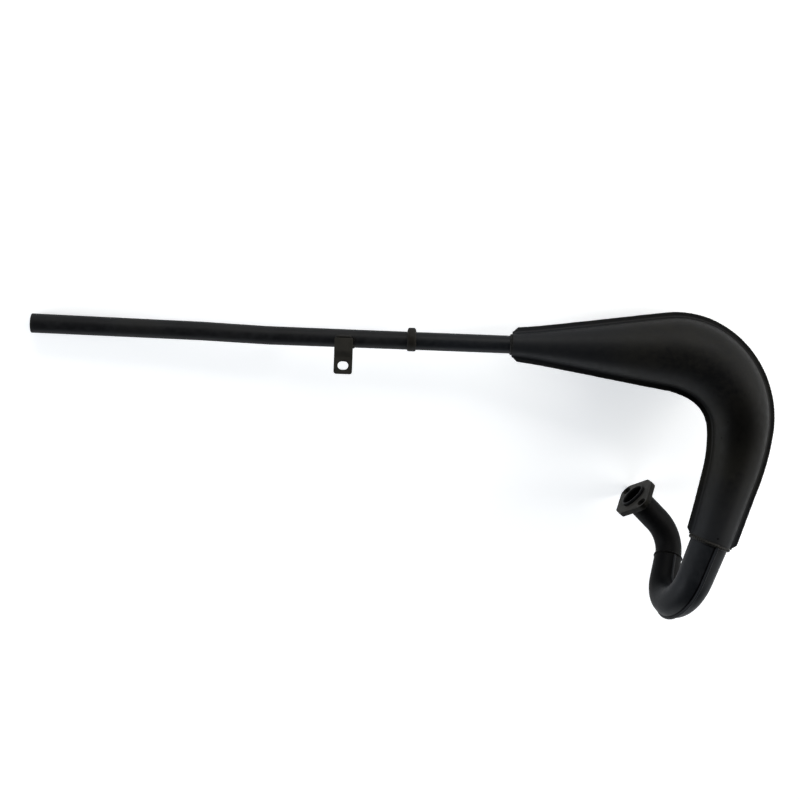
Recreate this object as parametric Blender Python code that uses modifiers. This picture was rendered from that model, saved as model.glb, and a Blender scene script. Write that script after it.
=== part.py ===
"""Racing exhaust system for a small two-stroke: flange, header, pressed elbow, chamber, tail tube.

The pieces are modelled in the chamber's own frame: its seam plane is XY, its narrow neck is at the
origin, the chamber runs towards +X and the tail tube towards -X. One empty then lays the whole
exhaust down the way it rests on a floor, on its tail tip, its belly and one lobe of its flange.
"""

import math

import bmesh
import bpy
from mathutils import Euler, Matrix, Vector

MM = 0.001
FIT_GAP = 0.3 * MM

# Sheet and tube
SHEET = 1.2 * MM
TUBE_WALL = 1.5 * MM

# Chamber: two pressings that meet in the seam plane
NECK_OFFSET = 0.4 * MM
NECK_SLOPE = math.radians(-2.6)
CONE_LENGTH = 176.8 * MM
BEND_RADIUS = 80.5 * MM
BEND_ANGLE = math.radians(91)
SWEEP_RADIUS = 224 * MM
SWEEP_ANGLE = math.radians(14)
LOWER_LENGTH = 56 * MM
END_BEND_RADIUS = 250 * MM
END_BEND_ANGLE = math.radians(4.5)
CHAMBER_RADII = (  # distance from the neck, inner radius
    (0 * MM, 10.9 * MM),
    (30 * MM, 14.2 * MM),
    (88 * MM, 22.9 * MM),
    (176 * MM, 36.2 * MM),
    (202 * MM, 37.8 * MM),
    (228 * MM, 36.9 * MM),
    (300 * MM, 30.0 * MM),
    (360 * MM, 25.2 * MM),
    (434 * MM, 21.4 * MM),
)
SEAM_WIDTH = 6.5 * MM
SEAM_END_WIDTH = 1.3 * MM
SEAM_END_LENGTH = 6 * MM
SEAM_FILLET = 2 * MM
SEAM_BEAD_DEPTH = 0.9 * MM
SEAM_BEAD_HEIGHT = 2.4 * MM
SHELL_ARC_SEGMENTS = 12

# Elbow: two pressed halves of a tapering U-bend, split in the plane of the bend
ELBOW_ROLL = math.radians(73.7)
ELBOW_IN = 43.5 * MM
ELBOW_RADIUS = 35.5 * MM
ELBOW_ANGLE = math.radians(153)
ELBOW_OUT = 27 * MM
ELBOW_RADII = (  # fraction of the elbow's length, outer radius
    (0.0, 21.2 * MM),
    (0.5, 18.9 * MM),
    (1.0, 15.6 * MM),
)
ELBOW_ARC_SEGMENTS = 10
ELBOW_SEAM_GAP = 0.8 * MM
RIB_START = 5 * MM
OUTER_RIB_WIDTH = 3.6 * MM
OUTER_RIB_HEIGHT = 2.6 * MM
INNER_RIB_WIDTH = 3.0 * MM
INNER_RIB_HEIGHT = 1.0 * MM

# Header tube and cylinder flange
HEADER_R = 15 * MM
HEADER_LEAD = 2 * MM
HEADER_BEND_RADIUS = 39 * MM
HEADER_LENGTH = 43 * MM
HEADER_EXIT = Vector((-0.690, 0.702, 0.175))
SPIGOT = 3.3 * MM
FLANGE_THICKNESS = 6 * MM
FLANGE_BORE_R = HEADER_R + FIT_GAP
FLANGE_LONG_AXIS = Vector((0.1125, -0.134, 0.985))
LOBE_SPACING = 66 * MM
LOBE_R = 9.5 * MM
FLANGE_HALF_WIDTH = 26 * MM
FLANGE_FLAT = 14 * MM
FLANGE_CORNER_R = 7 * MM
SLOT_WIDTH = 9.5 * MM
SLOT_LENGTH = 14 * MM

# Stinger and tail tube
TAIL_RISE = math.radians(2.2)
TAIL_R = 10 * MM
TAIL_TIP_R = 10.8 * MM
STINGER_INSIDE = 10 * MM
STINGER_LENGTH = 111.6 * MM
TAIL_STRAIGHT = 151 * MM
KINK_RADIUS = 600 * MM
KINK_UP = math.radians(1.5)
KINK_LENGTH = 62 * MM
KINK_DOWN = math.radians(1)
TAIL_END = 182.6 * MM

# Collar over the joint between the two tubes
COLLAR_R = 13.4 * MM
COLLAR_WIDTH = 10 * MM
COLLAR_OFFSET = 1.4 * MM
COLLAR_EDGE = 3 * MM

# Mounting bracket
BRACKET_FROM_COLLAR = 74.75 * MM
BRACKET_WIDTH = 20.5 * MM
BRACKET_LENGTH = 40 * MM
BRACKET_THICKNESS = 3 * MM
BRACKET_STEP = 3 * MM
BRACKET_STEP_FROM = 14 * MM
BRACKET_STEP_TO = 22 * MM
BRACKET_CORNER_R = 3 * MM
BRACKET_SLOT_WIDTH = 9.0 * MM
BRACKET_SLOT_LENGTH = 11.8 * MM
BRACKET_SLOT_FROM_TOP = 30.5 * MM

# Weld beads, by the radius of the bead
NECK_BEAD_R = 0.85 * MM
CHAMBER_BEAD_R = 1.4 * MM
JOINT_BEAD_R = 0.8 * MM
FLANGE_BEAD_R = 1.6 * MM
BRACKET_BEAD_R = 1.2 * MM
BRACKET_CORNER_WELD_ARC = (math.radians(102), math.radians(78))
BRACKET_BACK_BEAD_R = 2.4 * MM
BRACKET_BACK_BEAD_OVERHANG = 2 * MM
BRACKET_BACK_BEAD_SHORT = 1 * MM

TUBE_SIDES = 20

# How the finished exhaust lies on the floor
REST_TURN = Euler((math.radians(-26.10), math.radians(-1.05), 0.0))
REST_POSITION = Vector((121.37, 130.87, 31.05)) * MM

BLACK_PAINT = (0.016, 0.016, 0.016, 1)
BLUE_BLACK_PAINT = (0.016, 0.017, 0.020, 1)
BARE_WELD = (0.022, 0.021, 0.020, 1)


# ---------------------------------------------------------------- scene and materials

def clear_scene():
    for old in list(bpy.data.objects):
        bpy.data.objects.remove(old, do_unlink=True)


def new_collection(name):
    collection = bpy.data.collections.new(name)
    bpy.context.scene.collection.children.link(collection)
    return collection


def paint(name, colour, roughness):
    material = bpy.data.materials.new(name)
    material.use_nodes = True
    shader = material.node_tree.nodes["Principled BSDF"]
    shader.inputs["Base Color"].default_value = colour
    shader.inputs["Roughness"].default_value = roughness
    shader.inputs["Metallic"].default_value = 0.0
    return material


def add_part(name, mesh, colour=BLACK_PAINT, roughness=0.5):
    """Put a mesh in the exhaust's collection under its own name, with its own material."""
    part = bpy.data.objects.new(name, mesh)
    PARTS.objects.link(part)
    part.parent = STAND
    mesh.materials.clear()
    mesh.materials.append(paint(name + "_paint", colour, roughness))
    mesh.shade_smooth()
    mesh.set_sharp_from_angle(angle=math.radians(40))
    return part


def add_cutter(name, mesh):
    cutter = bpy.data.objects.new(name, mesh)
    CUTTERS.objects.link(cutter)
    cutter.parent = STAND
    cutter.hide_render = True
    cutter.display_type = "WIRE"
    return cutter


def cut(part, cutter, operation="DIFFERENCE"):
    boolean = part.modifiers.new(cutter.name, "BOOLEAN")
    boolean.operation = operation
    boolean.solver = "EXACT"
    boolean.object = cutter


def thicken(part, thickness, offset):
    wall = part.modifiers.new("wall", "SOLIDIFY")
    wall.thickness = thickness
    wall.offset = offset
    wall.use_even_offset = True


# ---------------------------------------------------------------- centrelines

def frame_from(origin, ahead, up):
    """A frame with X ahead, Z as near to up as it can be, and Y square to both."""
    x_axis = ahead.normalized()
    y_axis = up.cross(x_axis).normalized()
    z_axis = x_axis.cross(y_axis)
    rotation = Matrix((x_axis, y_axis, z_axis)).transposed().to_4x4()
    return Matrix.Translation(origin) @ rotation


def start_route(frame):
    """A route is a list of (distance travelled, frame) along a centreline."""
    return [(0.0, frame)]


def straight(route, length, pieces=1):
    distance, frame = route[-1]
    for i in range(1, pieces + 1):
        travelled = length * i / pieces
        route.append((distance + travelled, frame @ Matrix.Translation((travelled, 0, 0))))


def bend(route, radius, angle, roll, pieces):
    """Turn towards the side that lies at roll from local Y, seen along the heading."""
    distance, frame = route[-1]
    inward = Vector((0, math.cos(roll), math.sin(roll)))
    axis = Vector((1, 0, 0)).cross(inward)
    centre = inward * radius
    for i in range(1, pieces + 1):
        turned = angle * i / pieces
        swing = Matrix.Rotation(turned, 4, axis)
        step = Matrix.Translation(centre) @ swing @ Matrix.Translation(-centre)
        route.append((distance + radius * turned, frame @ step))


def bend_towards(route, radius, target, pieces):
    """Turn until the heading is the target direction."""
    local = route[-1][1].to_3x3().inverted() @ target.normalized()
    angle = Vector((1, 0, 0)).angle(local)
    roll = math.atan2(local.z, local.y)
    bend(route, radius, angle, roll, pieces)


def interpolate(stations, where):
    """Smooth curve through (place, value) stations: cubic pieces with averaged end slopes."""
    places = [place for place, value in stations]
    values = [value for place, value in stations]
    last = len(stations) - 1
    where = min(max(where, places[0]), places[-1])

    def slope(i):
        low, high = max(i - 1, 0), min(i + 1, last)
        return (values[high] - values[low]) / (places[high] - places[low])

    i = 0
    while i < last - 1 and where > places[i + 1]:
        i += 1
    width = places[i + 1] - places[i]
    t = (where - places[i]) / width
    start = (1 + 2 * t) * (1 - t) ** 2 * values[i] + t * (1 - t) ** 2 * width * slope(i)
    end = t ** 2 * (3 - 2 * t) * values[i + 1] - t ** 2 * (1 - t) * width * slope(i + 1)
    return start + end


def chamber_route():
    ahead = Vector((math.cos(NECK_SLOPE), math.sin(NECK_SLOPE), 0))
    route = start_route(frame_from(Vector((0, NECK_OFFSET, 0)), ahead, Vector((0, 0, 1))))
    right = math.pi
    straight(route, SEAM_END_LENGTH)
    straight(route, CONE_LENGTH - SEAM_END_LENGTH, 4)
    bend(route, BEND_RADIUS, BEND_ANGLE, right, 14)
    bend(route, SWEEP_RADIUS, SWEEP_ANGLE, right, 3)
    straight(route, LOWER_LENGTH, 2)
    end_bend = END_BEND_RADIUS * END_BEND_ANGLE
    before_end = END_BEND_ANGLE * (1 - SEAM_END_LENGTH / end_bend)
    bend(route, END_BEND_RADIUS, before_end, right, 1)
    bend(route, END_BEND_RADIUS, END_BEND_ANGLE - before_end, right, 1)
    return route


def elbow_route(chamber_end):
    """The U-bend: local +Y is the outside of the bend, and the two halves meet in its XY plane."""
    lip = Matrix.Translation((FIT_GAP, 0, 0))
    route = start_route(chamber_end @ Matrix.Rotation(ELBOW_ROLL, 4, "X") @ lip)
    inwards = math.pi
    straight(route, RIB_START)
    straight(route, ELBOW_IN - RIB_START, 2)
    bend(route, ELBOW_RADIUS, ELBOW_ANGLE, inwards, 13)
    straight(route, ELBOW_OUT, 2)
    return route


def header_route(elbow_end):
    route = start_route(elbow_end @ Matrix.Translation((FIT_GAP, 0, 0)))
    straight(route, HEADER_LEAD)
    bend_towards(route, HEADER_BEND_RADIUS, HEADER_EXIT, 8)
    straight(route, HEADER_LENGTH, 2)
    return route


def stinger_start():
    ahead = Vector((-math.cos(TAIL_RISE), math.sin(TAIL_RISE), 0))
    return frame_from(Vector((0, 0, 0)), ahead, Vector((0, 0, 1)))


def tail_route(collar_frame):
    """From the collar to the tip: a long straight, a slight rise, and a straight end."""
    route = start_route(collar_frame @ Matrix.Translation((FIT_GAP, 0, 0)))
    up, down = math.pi, 0.0
    straight(route, TAIL_STRAIGHT, 2)
    bend(route, KINK_RADIUS, KINK_UP, up, 2)
    straight(route, KINK_LENGTH, 1)
    bend(route, KINK_RADIUS, KINK_DOWN, down, 2)
    straight(route, TAIL_END, 2)
    return route


# ---------------------------------------------------------------- surfaces

def loft(name, sections, closed=False):
    """Faces between sections of equal point count; closed sections are capped into a solid."""
    shape = bmesh.new()
    rows = [[shape.verts.new(point) for point in section] for section in sections]
    count = len(rows[0])
    around = count if closed else count - 1
    for near, far in zip(rows, rows[1:]):
        for i in range(around):
            j = (i + 1) % count
            shape.faces.new((near[i], near[j], far[j], far[i]))
    if closed:
        shape.faces.new(rows[0])
        shape.faces.new(reversed(rows[-1]))
        bmesh.ops.recalc_face_normals(shape, faces=shape.faces)
    mesh = bpy.data.meshes.new(name)
    shape.to_mesh(mesh)
    shape.free()
    return mesh


def pipe_mesh(name, route, radius_at):
    """The open skin of a tube: a curve with a round bevel along the route, made a mesh."""
    curve = bpy.data.curves.new(name + "_line", "CURVE")
    curve.dimensions = "3D"
    curve.bevel_depth = 1.0
    curve.bevel_resolution = TUBE_SIDES // 2 - 2
    spline = curve.splines.new("POLY")
    spline.points.add(len(route) - 1)
    for point, (distance, frame) in zip(spline.points, route):
        point.co = (*frame.translation, 1.0)
        point.radius = radius_at(distance)
    line = bpy.data.objects.new(name + "_line", curve)
    PARTS.objects.link(line)
    graph = bpy.context.evaluated_depsgraph_get()
    mesh = bpy.data.meshes.new_from_object(line.evaluated_get(graph))
    bpy.data.objects.remove(line)
    return mesh


def add_tube(name, route, radius_at, colour):
    tube = add_part(name, pipe_mesh(name, route, radius_at), colour)
    thicken(tube, TUBE_WALL, -1.0)
    return tube


def add_bead_ring(name, frame, tube_radius, bead_radius):
    """A ring of weld round a tube, square to the frame's heading."""
    bpy.ops.mesh.primitive_torus_add(
        major_radius=tube_radius + FIT_GAP + bead_radius,
        minor_radius=bead_radius,
        major_segments=28,
        minor_segments=6,
    )
    ring = bpy.context.object
    mesh = ring.data
    bpy.data.objects.remove(ring)
    mesh.transform(frame @ Matrix.Rotation(math.pi / 2, 4, "Y"))
    return add_part(name, mesh, BARE_WELD, 0.6)


def add_bead_line(name, points, bead_radius):
    """A short run of weld through a few points."""
    curve = bpy.data.curves.new(name + "_line", "CURVE")
    curve.dimensions = "3D"
    curve.bevel_depth = bead_radius
    curve.bevel_resolution = 2
    curve.use_fill_caps = True
    spline = curve.splines.new("POLY")
    spline.points.add(len(points) - 1)
    for target, point in zip(spline.points, points):
        target.co = (*point, 1.0)
    line = bpy.data.objects.new(name + "_line", curve)
    PARTS.objects.link(line)
    graph = bpy.context.evaluated_depsgraph_get()
    mesh = bpy.data.meshes.new_from_object(line.evaluated_get(graph))
    bpy.data.objects.remove(line)
    shape = bmesh.new()
    shape.from_mesh(mesh)
    bmesh.ops.remove_doubles(shape, verts=shape.verts, dist=0.01 * MM)
    bmesh.ops.recalc_face_normals(shape, faces=shape.faces)
    shape.to_mesh(mesh)
    shape.free()
    return add_part(name, mesh, BARE_WELD, 0.6)


def arc_points(centre, radius, start, end, segments):
    angles = [start + (end - start) * i / segments for i in range(segments + 1)]
    return [(centre[0] + radius * math.cos(a), centre[1] + radius * math.sin(a)) for a in angles]


def belt_outline(circles, segments):
    """The outline of a belt round circles (x, y, radius) that are listed anticlockwise."""
    normals = []
    for (x0, y0, r0), (x1, y1, r1) in zip(circles, circles[1:] + circles[:1]):
        length = math.hypot(x1 - x0, y1 - y0)
        normals.append(math.atan2(y1 - y0, x1 - x0) - math.pi / 2 + math.asin((r0 - r1) / length))
    outline = []
    for i, (x, y, radius) in enumerate(circles):
        start, end = normals[i - 1], normals[i]
        while end < start:
            end += 2 * math.pi
        outline += arc_points((x, y), radius, start, end, segments)
    return outline


def slot_outline(centre, width, length, segments=6):
    """A slot with round ends, its length along Y."""
    reach = (length - width) / 2
    top = (centre[0], centre[1] + reach, width / 2)
    bottom = (centre[0], centre[1] - reach, width / 2)
    return belt_outline([bottom, top], segments)


def plate_mesh(name, outlines, thickness):
    """A flat plate from an outline and the outlines of its holes, centred on XY."""
    curve = bpy.data.curves.new(name + "_outline", "CURVE")
    curve.dimensions = "2D"
    curve.fill_mode = "BOTH"
    curve.extrude = thickness / 2
    for outline in outlines:
        spline = curve.splines.new("POLY")
        spline.points.add(len(outline) - 1)
        spline.use_cyclic_u = True
        for target, (x, y) in zip(spline.points, outline):
            target.co = (x, y, 0.0, 1.0)
    flat = bpy.data.objects.new(name + "_outline", curve)
    PARTS.objects.link(flat)
    graph = bpy.context.evaluated_depsgraph_get()
    mesh = bpy.data.meshes.new_from_object(flat.evaluated_get(graph))
    bpy.data.objects.remove(flat)
    shape = bmesh.new()
    shape.from_mesh(mesh)
    bmesh.ops.remove_doubles(shape, verts=shape.verts, dist=0.01 * MM)
    bmesh.ops.recalc_face_normals(shape, faces=shape.faces)
    shape.to_mesh(mesh)
    shape.free()
    return mesh


# ---------------------------------------------------------------- chamber

def seam_width(distance, total):
    """The seam flange is narrow at both ends of the chamber and widens over a short ramp."""
    from_end = min(distance, total - distance)
    ramp = min(from_end / SEAM_END_LENGTH, 1.0)
    return SEAM_END_WIDTH + (SEAM_WIDTH - SEAM_END_WIDTH) * ramp


def shell_section(radius, width):
    """Half of the chamber's inside line: seam flange, fillet, half circle, fillet, seam flange."""
    seam = FIT_GAP / 2
    lift = math.asin(min(SEAM_FILLET / radius, 1.0))
    arc = arc_points((0, 0), radius, lift, math.pi - lift, SHELL_ARC_SEGMENTS)
    root = radius + SEAM_FILLET / 2
    near = [(radius + width, seam), (root, seam)]
    return near + arc + [(-y, z) for y, z in reversed(near)]


def add_chamber_shell(name, route, side):
    """side is 1 for the pressing above the seam plane and -1 for the one below it."""
    total = route[-1][0]
    sections = []
    for distance, frame in route:
        radius = interpolate(CHAMBER_RADII, distance)
        points = shell_section(radius, seam_width(distance, total))
        if side < 0:
            points.reverse()
        sections.append([frame @ Vector((0, y, side * z)) for y, z in points])
    shell = add_part(name, loft(name, sections))
    thicken(shell, SHEET, 1.0)
    return shell


def add_chamber_seam(name, route, side):
    """A flat bead that closes the two seam flanges along their edge; side 1 is outside the bend."""
    total = route[-1][0]
    sections = []
    for distance, frame in route:
        edge = interpolate(CHAMBER_RADII, distance) + seam_width(distance, total) + FIT_GAP
        points = []
        for out, up in ((0.0, -0.5), (0.7, -0.35), (1.0, 0.0), (0.7, 0.35), (0.0, 0.5)):
            across = side * (edge + out * SEAM_BEAD_DEPTH)
            points.append(frame @ Vector((0, across, up * SEAM_BEAD_HEIGHT)))
        sections.append(points)
    return add_part(name, loft(name, sections, closed=True), BARE_WELD, 0.6)


# ---------------------------------------------------------------- elbow

def elbow_radius(distance, total):
    return interpolate(ELBOW_RADII, distance / total)


def add_elbow_shell(name, route, side):
    """side is 1 for the half on local +Z and -1 for the half on local -Z."""
    total = route[-1][0]
    sections = []
    for distance, frame in route:
        radius = elbow_radius(distance, total)
        edge = math.asin(ELBOW_SEAM_GAP / 2 / radius)
        points = arc_points((0, 0), radius, edge, math.pi - edge, ELBOW_ARC_SEGMENTS)
        if side < 0:
            points.reverse()
        sections.append([frame @ Vector((0, y, side * z)) for y, z in points])
    shell = add_part(name, loft(name, sections), BLUE_BLACK_PAINT)
    thicken(shell, SHEET, -1.0)
    return shell


def add_elbow_seam(name, route, side, width, height):
    """A raised run of weld along the outside (side 1) or the inside (side -1) of the bend."""
    total = route[-1][0]
    sections = []
    for distance, frame in route[1:-1]:
        base = elbow_radius(distance, total) + FIT_GAP
        points = []
        for across, up in ((-0.5, 0.0), (-0.3, 0.7), (0.0, 1.0), (0.3, 0.7), (0.5, 0.0)):
            z = across * width
            y = math.sqrt(base ** 2 - z ** 2) + up * height
            points.append(frame @ Vector((0, side * y, z)))
        sections.append(points)
    return add_part(name, loft(name, sections, closed=True), BARE_WELD, 0.6)


# ---------------------------------------------------------------- flange, collar, bracket

def flange_frame(spigot_end):
    """Frame in the middle of the plate: Z out of the front face, Y along the line of the slots."""
    normal = HEADER_EXIT.normalized()
    centre = spigot_end - normal * (SPIGOT + FLANGE_THICKNESS / 2)
    x_axis = FLANGE_LONG_AXIS.cross(normal).normalized()
    y_axis = normal.cross(x_axis)
    rotation = Matrix((x_axis, y_axis, normal)).transposed().to_4x4()
    return Matrix.Translation(centre) @ rotation


def flange_outlines():
    corner_x = FLANGE_HALF_WIDTH - FLANGE_CORNER_R
    corner_y = FLANGE_FLAT / 2
    lobe_y = LOBE_SPACING / 2
    circles = [
        (corner_x, -corner_y, FLANGE_CORNER_R),
        (corner_x, corner_y, FLANGE_CORNER_R),
        (0, lobe_y, LOBE_R),
        (-corner_x, corner_y, FLANGE_CORNER_R),
        (-corner_x, -corner_y, FLANGE_CORNER_R),
        (0, -lobe_y, LOBE_R),
    ]
    bore = [(FLANGE_BORE_R * math.cos(a), FLANGE_BORE_R * math.sin(a))
            for a in (2 * math.pi * i / 32 for i in range(32))]
    slots = [slot_outline((0, side * lobe_y), SLOT_WIDTH, SLOT_LENGTH) for side in (-1, 1)]
    return [belt_outline(circles, 5), bore] + slots


def add_header_flange(spigot_end):
    mesh = plate_mesh("header_flange", flange_outlines(), FLANGE_THICKNESS)
    mesh.transform(flange_frame(spigot_end))
    return add_part("header_flange", mesh, BLACK_PAINT, 0.55)


def add_collar(frame):
    """A rounded ring, bored for the tubes, that stands a little higher on its upper side."""
    bpy.ops.mesh.primitive_cylinder_add(vertices=32, radius=COLLAR_R, depth=COLLAR_WIDTH)
    ring = bpy.context.object
    mesh = ring.data
    bpy.data.objects.remove(ring)
    along = Matrix.Rotation(math.pi / 2, 4, "Y")
    mesh.transform(frame @ Matrix.Translation((0, -COLLAR_OFFSET, 0)) @ along)
    collar = add_part("joint_collar", mesh, BLACK_PAINT, 0.55)
    edge = collar.modifiers.new("edge", "BEVEL")
    edge.width = COLLAR_EDGE
    edge.segments = 3
    edge.limit_method = "ANGLE"
    bpy.ops.mesh.primitive_cylinder_add(
        vertices=TUBE_SIDES, radius=(TAIL_R + FIT_GAP) / math.cos(math.pi / TUBE_SIDES),
        depth=3 * COLLAR_WIDTH)
    drill = bpy.context.object
    bore = drill.data
    bpy.data.objects.remove(drill)
    bore.transform(frame @ along)
    cut(collar, add_cutter("collar_bore", bore))
    return collar


def bracket_frame(collar_frame):
    """On the tail tube's upper side: X along the tube, Y down the strip, Z off the tube."""
    return collar_frame @ Matrix.Translation((BRACKET_FROM_COLLAR, 0, TAIL_R + FIT_GAP))


def bracket_height(down):
    """The strip steps back towards the tube's own plane below the tube."""
    t = (down - BRACKET_STEP_FROM) / (BRACKET_STEP_TO - BRACKET_STEP_FROM)
    t = min(max(t, 0.0), 1.0)
    return -BRACKET_STEP * t * t * (3 - 2 * t)


def add_bracket(frame):
    rows = [0.0, BRACKET_STEP_FROM]
    rows += [BRACKET_STEP_FROM + (BRACKET_STEP_TO - BRACKET_STEP_FROM) * i / 4 for i in (1, 2, 3)]
    rows += [BRACKET_STEP_TO, BRACKET_LENGTH]
    half = BRACKET_WIDTH / 2
    sections = [[frame @ Vector((x, down, bracket_height(down))) for x in (-half, half)]
                for down in rows]
    strip = add_part("mounting_bracket", loft("mounting_bracket", sections), BLACK_PAINT, 0.5)
    thicken(strip, BRACKET_THICKNESS, 1.0)
    corner = BRACKET_CORNER_R
    margin = 1 * MM
    outline = belt_outline([
        (-half - margin, -margin, 0.01 * MM),
        (half + margin, -margin, 0.01 * MM),
        (half - corner, BRACKET_LENGTH - corner, corner),
        (-half + corner, BRACKET_LENGTH - corner, corner),
    ], 5)
    slot = [(y, BRACKET_SLOT_FROM_TOP + x) for x, y in
            slot_outline((0, 0), BRACKET_SLOT_WIDTH, BRACKET_SLOT_LENGTH)]
    blank = plate_mesh("bracket_blank", [outline, slot], 8 * BRACKET_THICKNESS)
    blank.transform(frame)
    cut(strip, add_cutter("bracket_blank", blank), "INTERSECT")
    return strip


def add_bracket_welds(frame):
    """A bead along the strip's top edge, a blob at one corner and a bead in the crevice behind it."""
    axis_z = -(TAIL_R + FIT_GAP)
    half = BRACKET_WIDTH / 2
    reach = TAIL_R + FIT_GAP + BRACKET_BEAD_R
    clear = BRACKET_BEAD_R + FIT_GAP
    top = math.asin(clear / reach)
    top_point = Vector((0, -reach * math.sin(top), axis_z + reach * math.cos(top)))
    ends = [-0.38 * BRACKET_WIDTH, 0.0, 0.42 * BRACKET_WIDTH]
    points = [frame @ (top_point + Vector((x, 0, 0))) for x in ends]
    add_bead_line("bracket_top_weld", points, BRACKET_BEAD_R)
    arc = arc_points((0, axis_z), reach, *BRACKET_CORNER_WELD_ARC, 4)
    points = [frame @ Vector((-half - clear, down, height)) for down, height in arc]
    add_bead_line("bracket_corner_weld", points, BRACKET_BEAD_R)
    reach = TAIL_R + FIT_GAP + BRACKET_BACK_BEAD_R
    height = -(BRACKET_BACK_BEAD_R + FIT_GAP)
    down = math.sqrt(reach ** 2 - (height - axis_z) ** 2)
    ends = [-half - BRACKET_BACK_BEAD_OVERHANG, 0.0, half - BRACKET_BACK_BEAD_SHORT]
    points = [frame @ Vector((x, down, height)) for x in ends]
    add_bead_line("bracket_back_weld", points, BRACKET_BACK_BEAD_R)


# ---------------------------------------------------------------- assembly

def build():
    chamber = chamber_route()
    add_chamber_shell("chamber_shell_front", chamber, 1)
    add_chamber_shell("chamber_shell_back", chamber, -1)
    add_chamber_seam("chamber_outer_seam_weld", chamber, 1)
    add_chamber_seam("chamber_inner_seam_weld", chamber, -1)

    elbow = elbow_route(chamber[-1][1])
    add_elbow_shell("elbow_shell_left", elbow, 1)
    add_elbow_shell("elbow_shell_right", elbow, -1)
    add_elbow_seam("elbow_outer_seam_weld", elbow, 1, OUTER_RIB_WIDTH, OUTER_RIB_HEIGHT)
    add_elbow_seam("elbow_inner_seam_weld", elbow, -1, INNER_RIB_WIDTH, INNER_RIB_HEIGHT)
    past_chamber = Matrix.Translation((CHAMBER_BEAD_R + FIT_GAP, 0, 0))
    add_bead_ring("elbow_chamber_weld", elbow[0][1] @ past_chamber, ELBOW_RADII[0][1],
                  CHAMBER_BEAD_R)

    header = header_route(elbow[-1][1])
    add_tube("header_tube", header, lambda distance: HEADER_R, BLACK_PAINT)
    add_bead_ring("header_elbow_weld", header[0][1], ELBOW_RADII[-1][1], JOINT_BEAD_R)
    spigot_end = header[-1][1]
    add_header_flange(spigot_end.translation)
    behind = SPIGOT + FLANGE_THICKNESS + FIT_GAP + FLANGE_BEAD_R
    add_bead_ring("flange_weld", spigot_end @ Matrix.Translation((-behind, 0, 0)), HEADER_R,
                  FLANGE_BEAD_R)

    neck = stinger_start()
    inside = neck @ Matrix.Translation((-STINGER_INSIDE, 0, 0))
    stinger = start_route(inside)
    straight(stinger, STINGER_INSIDE + STINGER_LENGTH, 3)
    add_tube("stinger_tube", stinger, lambda distance: TAIL_R, BLUE_BLACK_PAINT)
    before_neck = NECK_BEAD_R + FIT_GAP
    add_bead_ring("chamber_stinger_weld", neck @ Matrix.Translation((before_neck, 0, 0)), TAIL_R,
                  NECK_BEAD_R)

    joint = stinger[-1][1]
    add_collar(joint)
    tail = tail_route(joint)
    length = tail[-1][0]
    add_tube("tail_tube", tail, lambda distance: TAIL_R + (TAIL_TIP_R - TAIL_R) * distance / length,
             BLACK_PAINT)
    bracket = bracket_frame(joint)
    add_bracket(bracket)
    add_bracket_welds(bracket)


clear_scene()
PARTS = new_collection("racing_exhaust_system")
CUTTERS = new_collection("cutters")
STAND = bpy.data.objects.new("exhaust_stand", None)
PARTS.objects.link(STAND)
build()
STAND.rotation_euler = REST_TURN
STAND.location = REST_POSITION
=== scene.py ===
"""Racing exhaust system: the finished looks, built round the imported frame.

Every piece is made in the exhaust's own frame, as its CAD part is: the chamber's seam plane is XY, its
narrow neck is at the origin, the chamber runs towards +X and the tail tube towards -X. REST then lays
the finished piece on the floor. Metres throughout.
"""

import math

import bmesh
import bpy
import numpy as np
from mathutils import Euler, Matrix, Vector, noise


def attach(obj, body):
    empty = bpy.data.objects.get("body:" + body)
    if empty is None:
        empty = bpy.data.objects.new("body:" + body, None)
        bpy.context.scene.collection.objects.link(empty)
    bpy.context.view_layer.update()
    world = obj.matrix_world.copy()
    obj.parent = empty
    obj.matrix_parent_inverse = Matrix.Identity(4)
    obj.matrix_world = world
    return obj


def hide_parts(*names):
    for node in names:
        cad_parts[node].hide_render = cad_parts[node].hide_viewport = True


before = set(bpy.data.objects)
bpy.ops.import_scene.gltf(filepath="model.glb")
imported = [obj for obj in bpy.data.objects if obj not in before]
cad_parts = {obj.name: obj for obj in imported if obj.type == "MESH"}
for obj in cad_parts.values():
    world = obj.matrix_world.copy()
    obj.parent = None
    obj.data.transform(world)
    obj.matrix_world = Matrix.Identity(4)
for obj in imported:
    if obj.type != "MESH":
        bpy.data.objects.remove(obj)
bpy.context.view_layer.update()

MM = 0.001
REST_TURN = Euler((math.radians(-26.10), math.radians(-1.05), 0.0))
REST_POSITION = Vector((121.37, 130.87, 31.05)) * MM
REST = Matrix.Translation(REST_POSITION) @ REST_TURN.to_matrix().to_4x4()

GAP = 0.3 * MM
SHEET = 1.2 * MM
TUBE_WALL = 1.5 * MM
LIP = 0.45 * MM  # how far a cut edge is rounded

# Chamber
NECK_OFFSET = 0.4 * MM
NECK_SLOPE = math.radians(-2.6)
CONE_LENGTH = 176.8 * MM
BEND = (80.5 * MM, math.radians(91))
SWEEP = (224 * MM, math.radians(14))
LOWER_LENGTH = 56 * MM
END_BEND = (250 * MM, math.radians(4.5))
CHAMBER_RADII = (  # distance from the neck, inner radius
    (0 * MM, 10.9 * MM),
    (30 * MM, 14.2 * MM),
    (88 * MM, 22.9 * MM),
    (176 * MM, 36.2 * MM),
    (202 * MM, 37.8 * MM),
    (228 * MM, 36.9 * MM),
    (300 * MM, 30.0 * MM),
    (360 * MM, 25.2 * MM),
    (434 * MM, 21.4 * MM),
)
SEAM_WIDTH = 6.5 * MM
SEAM_END_WIDTH = 1.3 * MM
SEAM_END_LENGTH = 6 * MM
SEAM_FILLET = 3.0 * MM
SEAM_BEAD_DEPTH = 0.9 * MM
SEAM_BEAD_HEIGHT = 2.4 * MM
SEAM_BEAD_PITCH = 2.3 * MM
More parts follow.
